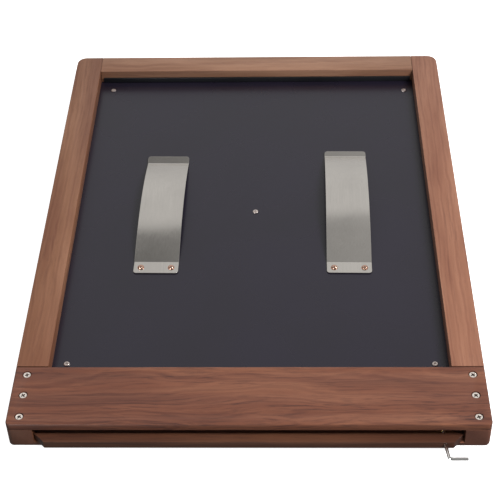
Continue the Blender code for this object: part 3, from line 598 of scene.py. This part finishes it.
BEECH = beech()
print("metals:", ", ".join(m.name for m in (BRUSHED, DRAWN, COPPER, NICKEL, RIVET_NICKEL, BRASS)))


# %% [markdown]
# Every new piece goes into the scene the same way: its mesh is already in place, its object stays
# at the origin, it takes a finish and the part of the model that it replaces is hidden.

# %% Placing a piece
def place_piece(name, bm, material, node, recalculate=True):
    """Turns a bmesh in place into a piece with a finish, and hides the node of the model that it replaces.
    """
    if recalculate:
        bmesh.ops.recalc_face_normals(bm, faces=bm.faces)
    mesh = bpy.data.meshes.new(name)
    bm.to_mesh(mesh)
    bm.free()
    mesh.materials.append(material)
    piece = bpy.data.objects.new(name, mesh)
    bpy.context.scene.collection.objects.link(piece)
    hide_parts(node)
    return piece


def smooth(piece, angle=30):
    """Shades a turned piece round, apart from edges sharper than the angle in degrees."""
    piece.data.shade_smooth()
    piece.data.set_sharp_from_angle(angle=radians(angle))


def soften(piece, width, angle=30, segments=3):
    """Rounds the sharp edges a little and keeps the flat faces flat in the light."""
    bevel = piece.modifiers.new("soft edges", "BEVEL")
    bevel.width = width
    bevel.segments = segments
    bevel.profile = 0.5
    bevel.limit_method = "ANGLE"
    bevel.angle_limit = radians(angle)
    bevel.use_clamp_overlap = True
    bevel.harden_normals = True
    piece.data.shade_smooth()


# %% [markdown]
# A board is never sharp: sandpaper takes about a quarter of a millimetre off every edge, and that
# thin rounding is what catches the light along the frame. Each wooden part's own shape is right,
# so a merged copy of it is taken, its flat faces are cleaned of the triangles that cross them, and
# a narrow bevel softens all its edges at once.

# %% Boards with sanded edges
def copy_of(node):
    """A merged copy of a part's mesh, its flat faces free of needless edges."""
    bm = bmesh.new()
    bm.from_mesh(nodes[node].data)
    bmesh.ops.remove_doubles(bm, verts=bm.verts, dist=0.001 * MM)
    flat = [edge for edge in bm.edges if edge.is_manifold and edge.calc_face_angle(0) < radians(0.5)]
    bmesh.ops.dissolve_edges(bm, edges=flat, use_verts=False)
    bmesh.ops.dissolve_limit(bm, angle_limit=radians(0.5), verts=bm.verts, edges=[])
    return bm


SANDED = 0.25 * MM
for node, material in WALNUTS.items():
    board = place_piece(node + "_board", copy_of(node), material, node, recalculate=False)
    soften(board, SANDED)
    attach(board, body_of_node[node])
print("boards:", ", ".join(WALNUTS))

# %% [markdown]
# The dark slide and the strip along the panel's far edge are sheet goods. They are made the same
# way. The fibre board's edge is nearly crisp, and the moulded strip's is rounder and shines.

# %% Sheet goods
for node, material, width in (
    ("dark_slide", FIBRE, 0.15 * MM),
    ("far_seal_strip", EDGE_STRIP, 0.30 * MM),
):
    sheet = place_piece(node + "_sheet", copy_of(node), material, node, recalculate=False)
    soften(sheet, width)
    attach(sheet, body_of_node[node])
    print(sheet.name, "with edges of", round(width / MM, 2), "mm")

# %% [markdown]
# The leaves are the brightest thing on the holder, so they get the most careful shape. Each is one
# strip of spring steel with a flat foot, a sharp crease, a long arch and a turned-up tip. The foot
# stays with the frame and the arch is drawn on its own, so the strip is made in two pieces that meet
# in the crease. Everything about a leaf is measured from that crease.

# %% Leaf sizes
LEAF_THICKNESS = 0.5 * MM
LEAF_EDGE = 0.16 * MM
CORNER = 1.8 * MM
TIP_RADIUS = 2.5 * MM
TIP_RISE = radians(20)
ROUND_START = CORNER + 0.2 * MM
# The arch's parabola stops just short of the panel, where the tip's own curve takes over.
ARCH_STEPS, ARCH_END, TIP_STEPS = 48, 0.985, 8


def leaf_frame(side):
    """Matrix of the foot bend: X along the crease, Y towards the tip, Z up."""
    joint = joints[side + "_leaf_press"]
    across = -Vector(joint["axis"]).normalized()
    ahead = Vector((0, 0, 1)).cross(across)
    turn = Matrix((across, ahead, (0, 0, 1))).transposed().to_4x4()
    return Matrix.Translation(Vector(joint["pos_m"])) @ turn


for side in ("left", "right"):
    crease = leaf_frame(side).translation / MM
    print(f"{side} leaf's crease: {crease.z:.1f} mm above the table")

# %% [markdown]
# A strip is the easiest shape to draw out: one edge as wide as the leaf is extruded from point to
# point along the leaf's side view. Its free corners are then rounded with a vertex bevel, and the
# thickness comes last, half to each side, so that the drawn surface stays the leaf's middle.

# %% A strip drawn out along a path
def strip(path, width, round_start=False, round_end=False):
    """A sheet drawn out along (y, z) points, with its free corners rounded in plan."""
    bm = bmesh.new()
    y, z = path[0]
    ends = [bm.verts.new((x, y, z)) for x in (-width / 2, width / 2)]
    edge = bm.edges.new(ends)
    first = list(ends)
    for (y, z), (next_y, next_z) in zip(path, path[1:]):
        drawn = bmesh.ops.extrude_edge_only(bm, edges=[edge])["geom"]
        ends = [item for item in drawn if isinstance(item, bmesh.types.BMVert)]
        edge = next(item for item in drawn if isinstance(item, bmesh.types.BMEdge))
        bmesh.ops.translate(bm, verts=ends, vec=(0, next_y - y, next_z - z))
    corners = first * round_start + ends * round_end
    if corners:
        bmesh.ops.bevel(
            bm, geom=corners, offset=CORNER, segments=8, profile=0.5, affect="VERTICES", material=-1
        )
    return bm


def make_sheet_solid(piece):
    """Gives a drawn-out sheet the strip's thickness, half to each side, and a worn edge."""
    solid = piece.modifiers.new("thickness", "SOLIDIFY")
    solid.thickness = LEAF_THICKNESS
    solid.offset = 0.0
    solid.use_even_offset = True
    soften(piece, LEAF_EDGE, angle=50, segments=3)


print("leaf thickness:", LEAF_THICKNESS / MM, "mm, corners rounded by", CORNER / MM, "mm")

# %% [markdown]
# The arch is a parabola, which is close to how a strip bends when its middle carries the load. The
# tip turns up in a short arc so that it can slide over the panel without digging in.

# %% The leaf's side view
def arch_path(length, bow, reach):
    """The arch as a parabola from the crease, then the tip's arc and its straight out to reach."""
    parts = [ARCH_END * i / ARCH_STEPS for i in range(ARCH_STEPS + 1)]
    path = [(length * part, 4 * bow * part * (1 - part)) for part in parts]
    slope = atan2(4 * bow * (1 - 2 * ARCH_END), length)
    y, z = path[-1]
    for i in range(1, TIP_STEPS + 1):
        heading = slope + (TIP_RISE - slope) * i / TIP_STEPS
        ahead = TIP_RADIUS * (sin(heading) - sin(slope))
        up = TIP_RADIUS * (cos(slope) - cos(heading))
        path.append((y + ahead, z + up))
    y, z = path[-1]
    lip = (reach - y) / cos(TIP_RISE)
    for straight in (lip - ROUND_START, lip):
        path.append((y + straight * cos(TIP_RISE), z + straight * sin(TIP_RISE)))
    return path


print("points along an arch:", len(arch_path(80 * MM, 7 * MM, 90 * MM)))


# %% Leaf springs
def add_leaf(side):
    """One leaf: its foot on the panel and its arch, drawn as one piece across the crown."""
    to_world = leaf_frame(side)
    foot_low, foot_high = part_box(side + "_leaf_foot")
    crown = to_world.inverted() @ Vector(joints[side + "_leaf_crown_flex"]["pos_m"])
    length, bow = 2 * crown.y, crown.z
    turn = abs(to_world[1][0])
    width = (foot_high.x - foot_low.x) - (foot_high.y - foot_low.y) * turn
    foot_length = to_world.translation.y - foot_low.y - (width / 2 - CORNER) * turn
    tip_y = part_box(side + "_leaf_far_half")[1].y - to_world.translation.y
    reach = tip_y - (width / 2 - CORNER) * turn - LEAF_THICKNESS / 2 * sin(TIP_RISE)

    foot_path = [(-foot_length, 0), (-foot_length + ROUND_START, 0), (0, 0)]
    foot_bm = strip(foot_path, width, round_start=True)
    bmesh.ops.transform(foot_bm, matrix=to_world, verts=foot_bm.verts)
    foot = place_piece(
        side + "_leaf_spring_foot", foot_bm, BRUSHED, side + "_leaf_foot", recalculate=False
    )
    make_sheet_solid(foot)
    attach(foot, "frame")

    arch_bm = strip(arch_path(length, bow, reach), width, round_end=True)
    bmesh.ops.transform(arch_bm, matrix=to_world, verts=arch_bm.verts)
    arch = place_piece(
        side + "_leaf_spring_arch", arch_bm, BRUSHED, side + "_leaf_near_half", recalculate=False
    )
    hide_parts(side + "_leaf_far_half")
    make_sheet_solid(arch)
    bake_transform(arch)
    print(f"{side} leaf: {length / MM:.1f} mm span, {bow / MM:.1f} mm bow, {width / MM:.1f} mm wide")


for side in ("left", "right"):
    add_leaf(side)


# %% [markdown]
# Rivets, screws and pins are turned or headed parts. Each is a half outline spun about its axis:
# a list of radius and height points that says what a maker's drawing would say. Domes and rounded
# rims are worked out as arcs, so that the small highlights on them are round.

# %% Spinning an outline
def arc(centre_r, centre_z, radius, start, end, steps):
    """Points of a round stretch of outline, with its angles in degrees from level."""
    angles = [radians(start + (end - start) * i / steps) for i in range(steps + 1)]
    return [(centre_r + radius * cos(a), centre_z + radius * sin(a)) for a in angles]


def spun(outline, steps=48):
    """A closed solid from (radius, height) points in mm, spun about Z."""
    bm = bmesh.new()
    points = [bm.verts.new((r * MM, 0, z * MM)) for r, z in outline]
    edges = [bm.edges.new(pair) for pair in zip(points, points[1:])]
    bmesh.ops.spin(
        bm,
        geom=points + edges,
        cent=(0, 0, 0),
        axis=(0, 0, 1),
        angle=2 * pi,
        steps=steps,
        use_merge=True,
        use_duplicate=False,
    )
    bmesh.ops.remove_doubles(bm, verts=bm.verts, dist=0.0005 * MM)
    return bm


def add_turned(name, outline, material, node, place, tilt=None, steps=48):
    """Spins an outline, turns it onto its axis and places it as a piece for its node."""
    bm = spun(outline, steps)
    if tilt:
        bmesh.ops.transform(bm, matrix=tilt, verts=bm.verts)
    bmesh.ops.translate(bm, vec=place, verts=bm.verts)
    piece = place_piece(name, bm, material, node)
    smooth(piece, 35)
    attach(piece, body_of_node[node])
    return piece


print("points in a quarter round:", len(arc(0, 0, 1, 90, 0, 8)))

# %% [markdown]
# The panel's rivets are tubular: a rolled rim round a small hollow. The leaf rivets are solid
# copper, with a full dome on a thin flange that the hammer spread over the steel.

# %% Panel rivets
def centre_of(node):
    """The middle of a node's box."""
    low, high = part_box(node)
    return (low + high) / 2


PANEL_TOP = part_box("back_panel")[1].z / MM


def panel_rivet_outline(node):
    """A tubular rivet: a hollow, its rolled rim, the shank and the flange under the panel."""
    low, high = (corner.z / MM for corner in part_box(node))
    seat = PANEL_TOP + 0.05
    return [
        (0, seat + 0.10),
        (0.42, seat + 0.10),
        *arc(0.88, seat + 0.30, 0.36, 170, 90, 5),
        *arc(1.10, seat + 0.16, 0.50, 80, 0, 6),
        (1.60, seat),
        (0.80, seat),
        (0.80, low + 0.2),
        (1.20, low + 0.2),
        (1.20, low),
        (0, low),
    ]


panel_rivets = [node for node in nodes if node.endswith("_panel_rivet")]
for node in panel_rivets:
    spot = centre_of(node)
    place = (spot.x, spot.y, 0)
    add_turned(node + "_rolled", panel_rivet_outline(node), RIVET_NICKEL, node, place)
print("panel rivets:", len(panel_rivets))

# %% Leaf rivets
# A leaf rivet's dome stands on a flange this high and a little wider.
DOME_RADIUS, FLANGE_RADIUS, FLANGE_HEIGHT = 1.65, 1.90, 0.20
leaf_rivets = [node for node in nodes if "_leaf_" in node and node.endswith("_rivet")]
for node in leaf_rivets:
    low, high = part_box(node)
    spot = centre_of(node)
    foot_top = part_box(node.split("_leaf_")[0] + "_leaf_foot")[1].z / MM
    crown_z = high.z / MM
    rise = crown_z - foot_top - FLANGE_HEIGHT
    sphere = (DOME_RADIUS**2 + rise**2) / (2 * rise)
    edge_angle = degrees(asin((sphere - rise) / sphere))
    outline = [
        *arc(0, crown_z - sphere, sphere, 90, edge_angle, 10),
        *arc(FLANGE_RADIUS - 0.12, foot_top + 0.11, 0.12, 60, -60, 5),
        (0.90, foot_top + 0.03),
        (0.90, low.z / MM + 0.3),
        (1.40, low.z / MM + 0.3),
        (1.40, low.z / MM),
        (0, low.z / MM),
    ]
    outline[0] = (0, crown_z)
    add_turned(node + "_domed", outline, COPPER, node, (spot.x, spot.y, 0))
print("leaf rivets:", len(leaf_rivets))

# %% [markdown]
# The cover rail's screws are countersunk, a hair below the wood. Their cross recess is four sloping
# flutes that meet in a pit. The head is spun first, and the recess is then cut by Booleans whose
# cutters are two crossing blades that taper downwards, as the punch that formed it does.

# %% Punch for the recess
BLADE = (3.1 * MM, 1.0 * MM, 1.6 * MM)
BLADE_TAPER = 0.45
BLADE_SINK = 0.25 * MM


def punch(turn, place):
    """The cross-shaped tool as two tapering blades, one a quarter turn from the other."""
    blades = []
    for quarter in (0, 90):
        bm = bmesh.new()
        bmesh.ops.create_cube(bm, size=1.0)
        bmesh.ops.scale(bm, vec=BLADE, verts=bm.verts)
        lower = [v for v in bm.verts if v.co.z < 0]
        bmesh.ops.scale(bm, vec=(BLADE_TAPER, BLADE_TAPER, 1), verts=lower)
        spin = Matrix.Rotation(radians(turn + quarter), 3, "Z")
        bmesh.ops.rotate(bm, verts=bm.verts, cent=(0, 0, 0), matrix=spin)
        bmesh.ops.translate(bm, vec=place, verts=bm.verts)
        blades.append(bm)
    return blades


print(f"recess: {BLADE[2] / 2 / MM + BLADE_SINK / MM:.2f} mm deep")

# %% A screw's outline
HEAD_RADIUS, HEAD_HEIGHT = 1.85, 1.3
THREAD_RADIUS, THREAD_PITCH = 1.0, 0.9


def screw_outline(top, tip):
    """The head's rim and cone, then a shank with ridges for its thread, from heights in mm."""
    neck = top - HEAD_HEIGHT
    outline = [
        (0, top),
        (HEAD_RADIUS - 0.25, top),
        *arc(HEAD_RADIUS - 0.18, top - 0.18, 0.18, 85, 0, 4),
        (HEAD_RADIUS, top - 0.30),
        (THREAD_RADIUS, neck),
    ]
    root = THREAD_RADIUS - 0.22
    for i in range(int((neck - (tip + 2.0)) / THREAD_PITCH)):
        z = neck - 0.3 - THREAD_PITCH * i
        outline += [(root, z), (root, z - 0.35), (THREAD_RADIUS, z - 0.6)]
    return outline + [(THREAD_RADIUS - 0.25, tip + 1.6), (0, tip)]


print("screw heads:", 2 * HEAD_RADIUS, "mm across, on a shank of", 2 * THREAD_RADIUS, "mm")

# %% Screws
cutters = bpy.data.collections.new("recess punches")
bpy.context.scene.collection.children.link(cutters)
cutters.hide_render = True


def add_screw(node, turn):
    """A countersunk screw with its cross turned by an angle in degrees."""
    low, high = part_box(node)
    spot = centre_of(node)
    bm = spun(screw_outline(high.z / MM, low.z / MM), 40)
    bmesh.ops.translate(bm, vec=(spot.x, spot.y, 0), verts=bm.verts)
    screw = place_piece(node + "_headed", bm, NICKEL, node)
    for blade in punch(turn, (spot.x, spot.y, high.z - BLADE_SINK)):
        mesh = bpy.data.meshes.new("punch")
        blade.to_mesh(mesh)
        blade.free()
        tool = bpy.data.objects.new("punch", mesh)
        cutters.objects.link(tool)
        boolean = screw.modifiers.new("recess", "BOOLEAN")
        boolean.operation, boolean.object = "DIFFERENCE", tool
    bpy.context.view_layer.update()
    cut = screw.evaluated_get(bpy.context.evaluated_depsgraph_get())
    cut_mesh = bpy.data.meshes.new_from_object(cut)
    screw.modifiers.clear()
    screw.data = cut_mesh
    for tool in list(cutters.objects):
        bpy.data.objects.remove(tool)
    smooth(screw, 30)
    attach(screw, body_of_node[node])


SCREW_TURNS = {
    "left_front": 62,
    "left_middle": 38,
    "left_rear": 14,
    "right_front": 21,
    "right_middle": 44,
    "right_rear": 33,
}
for where, turn in SCREW_TURNS.items():
    add_screw(where + "_cover_screw", turn)
bpy.data.collections.remove(cutters)
print("screws:", len(SCREW_TURNS))

# %% [markdown]
# The lock is a length of drawn wire bent once. A disc is drawn out to a rod, spun about the bend's
# centre through a quarter turn and drawn out again for the arm, much as a wire is drawn and bent.
# Both ends are then closed with a rounded tip.

# %% Wire's rounded end
WIRE_RADIUS = 0.8 * MM
BEND_RADIUS = 1.5 * MM
LEAN_OUT = 1.0 * MM
# The rounded ends are flatter than half a ball: this share of the wire's radius.
TIP_SHARE = 0.45


def round_tip(bm, face, direction, steps=4):
    """Draws a wire's end face out into a low dome."""
    for i in range(1, steps + 1):
        angle, before = pi / 2 * i / steps, pi / 2 * (i - 1) / steps
        face = bmesh.ops.extrude_discrete_faces(bm, faces=[face])["faces"][0]
        depth = TIP_SHARE * WIRE_RADIUS * (sin(angle) - sin(before))
        bmesh.ops.translate(bm, verts=face.verts, vec=direction * depth)
        shrink = max(cos(angle), 0.05) / max(cos(before), 0.05)
        middle = face.calc_center_median()
        bmesh.ops.scale(bm, verts=face.verts, vec=(shrink,) * 3, space=Matrix.Translation(-middle))


print(f"wire: {2 * WIRE_RADIUS / MM:.1f} mm thick, its tips {TIP_SHARE * WIRE_RADIUS / MM:.2f} mm proud")


# %% Lock wire
def lock_wire():
    """Draws the wire out from its inner end: leg, lean, bend and arm, then both rounded ends."""
    low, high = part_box("lock_wire")
    axis_x, axis_z = (Vector(joints["lock_turn"]["pos_m"])[i] for i in (0, 2))
    arm_y = low.y + WIRE_RADIUS
    bm = bmesh.new()
    made = bmesh.ops.create_circle(bm, cap_ends=True, radius=WIRE_RADIUS, segments=24)
    upright = Matrix.Rotation(pi / 2, 3, "X")
    bmesh.ops.rotate(bm, verts=made["verts"], cent=(0, 0, 0), matrix=upright)
    tip_depth = TIP_SHARE * WIRE_RADIUS
    bmesh.ops.translate(bm, verts=made["verts"], vec=(axis_x, high.y - tip_depth, axis_z))
    inner = bm.faces[:][0]
    leg = bmesh.ops.extrude_face_region(bm, geom=[inner], use_keep_orig=True)["geom"]
    leg_verts = [item for item in leg if isinstance(item, bmesh.types.BMVert)]
    handle_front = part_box("slide_handle")[0].y
    leg_length = high.y - tip_depth - handle_front
    bmesh.ops.translate(bm, verts=leg_verts, vec=(0, -leg_length, 0))
    outer = next(item for item in leg if isinstance(item, bmesh.types.BMFace))
    outer = bmesh.ops.extrude_discrete_faces(bm, faces=[outer])["faces"][0]
    stretch = handle_front - (arm_y + BEND_RADIUS)
    bmesh.ops.translate(bm, verts=outer.verts, vec=(LEAN_OUT, -stretch, 0))
    centre = (axis_x + LEAN_OUT + BEND_RADIUS, arm_y + BEND_RADIUS, axis_z)
    turned = bmesh.ops.spin(
        bm,
        geom=[outer],
        cent=centre,
        axis=(0, 0, 1),
        angle=pi / 2,
        steps=12,
        use_merge=False,
        use_duplicate=False,
    )["geom_last"]
    outer = next(item for item in turned if isinstance(item, bmesh.types.BMFace))
    arm = bmesh.ops.extrude_discrete_faces(bm, faces=[outer])["faces"][0]
    reach = high.x - tip_depth - arm.calc_center_median().x
    bmesh.ops.translate(bm, verts=arm.verts, vec=(reach, 0, 0))
    round_tip(bm, arm, Vector((1, 0, 0)))
    inner = min(bm.faces, key=lambda face: -face.calc_center_median().y)
    round_tip(bm, inner, Vector((0, 1, 0)))
    piece = place_piece("lock_wire_bent", bm, DRAWN, "lock_wire")
    smooth(piece, 40)
    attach(piece, "lock")
    print("lock wire:", len(piece.data.polygons), "faces")


lock_wire()

# %% [markdown]
# The last turned parts are small and half hidden: the handle's pins, the flap's hinge wire, the
# brass bush and the dowels. Each gets a small chamfer, which a turned end always has.

# %% Pins and bush
PIN_RADIUS, HINGE_RADIUS, DOWEL_RADIUS = 0.70, 0.50, 2.0
BUSH_BORE, BUSH_RADIUS, BUSH_CHAMFER = 0.9, 1.2, 0.1


def rod_outline(radius, bottom, top, chamfer=0.15):
    """A rod with both its ends chamfered."""
    narrow = radius - chamfer
    upper = [(0, top), (narrow, top), (radius, top - chamfer)]
    return upper + [(radius, bottom + chamfer), (narrow, bottom), (0, bottom)]


for node in ("left_handle_pin", "middle_handle_pin", "right_handle_pin"):
    low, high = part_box(node)
    spot = centre_of(node)
    outline = rod_outline(PIN_RADIUS, low.z / MM, high.z / MM)
    add_turned(node + "_turned", outline, RIVET_NICKEL, node, (spot.x, spot.y, 0), steps=32)

along_x = Matrix.Rotation(radians(90), 4, "Y")
along_y = Matrix.Rotation(radians(-90), 4, "X")
low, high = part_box("flap_hinge_pin")
half = (high.x - low.x) / 2 / MM
outline = rod_outline(HINGE_RADIUS, -half, half)
place = tuple(centre_of("flap_hinge_pin"))
add_turned("flap_hinge_wire", outline, DRAWN, "flap_hinge_pin", place, along_x, 24)

low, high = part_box("lock_bush")
half = (high.y - low.y) / 2 / MM
bush_outline = rod_outline(BUSH_RADIUS, -half, half, BUSH_CHAMFER)
bush_outline[0], bush_outline[-1] = (BUSH_BORE, half), (BUSH_BORE, -half)
bush_outline.append(bush_outline[0])
place = tuple(centre_of("lock_bush"))
add_turned("lock_bush_turned", bush_outline, BRASS, "lock_bush", place, along_y, 40)

for node in ("left_far_dowel", "right_far_dowel"):
    low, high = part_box(node)
    half = (high.x - low.x) / 2 / MM
    outline = rod_outline(DOWEL_RADIUS, -half, half, 0.5)
    add_turned(node + "_turned", outline, BEECH, node, tuple(centre_of(node)), along_x, 40)
print("bush bore:", 2 * BUSH_BORE, "mm for a wire of", round(2 * WIRE_RADIUS / MM, 2), "mm")

# %% [markdown]
# What is left keeps the model's own shape and takes a finish: the panel, the sheath, the velvet,
# the strip spring and the keeper. Their edges are hidden or crisp, so no new piece is needed.

# %% Finishes on the model's own parts
KEPT = {
    "back_panel": PANEL_COAT,
    "film_sheath": SHEATH_COAT,
    "upper_light_trap": VELVET,
    "lower_light_trap": VELVET,
    "light_trap_spring": BRUSHED,
    "lock_keeper": BRASS,
}
for node, material in KEPT.items():
    nodes[node].data.materials.clear()
    nodes[node].data.materials.append(material)

shown = [piece.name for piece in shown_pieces()]
print("pieces shown:", len(shown))
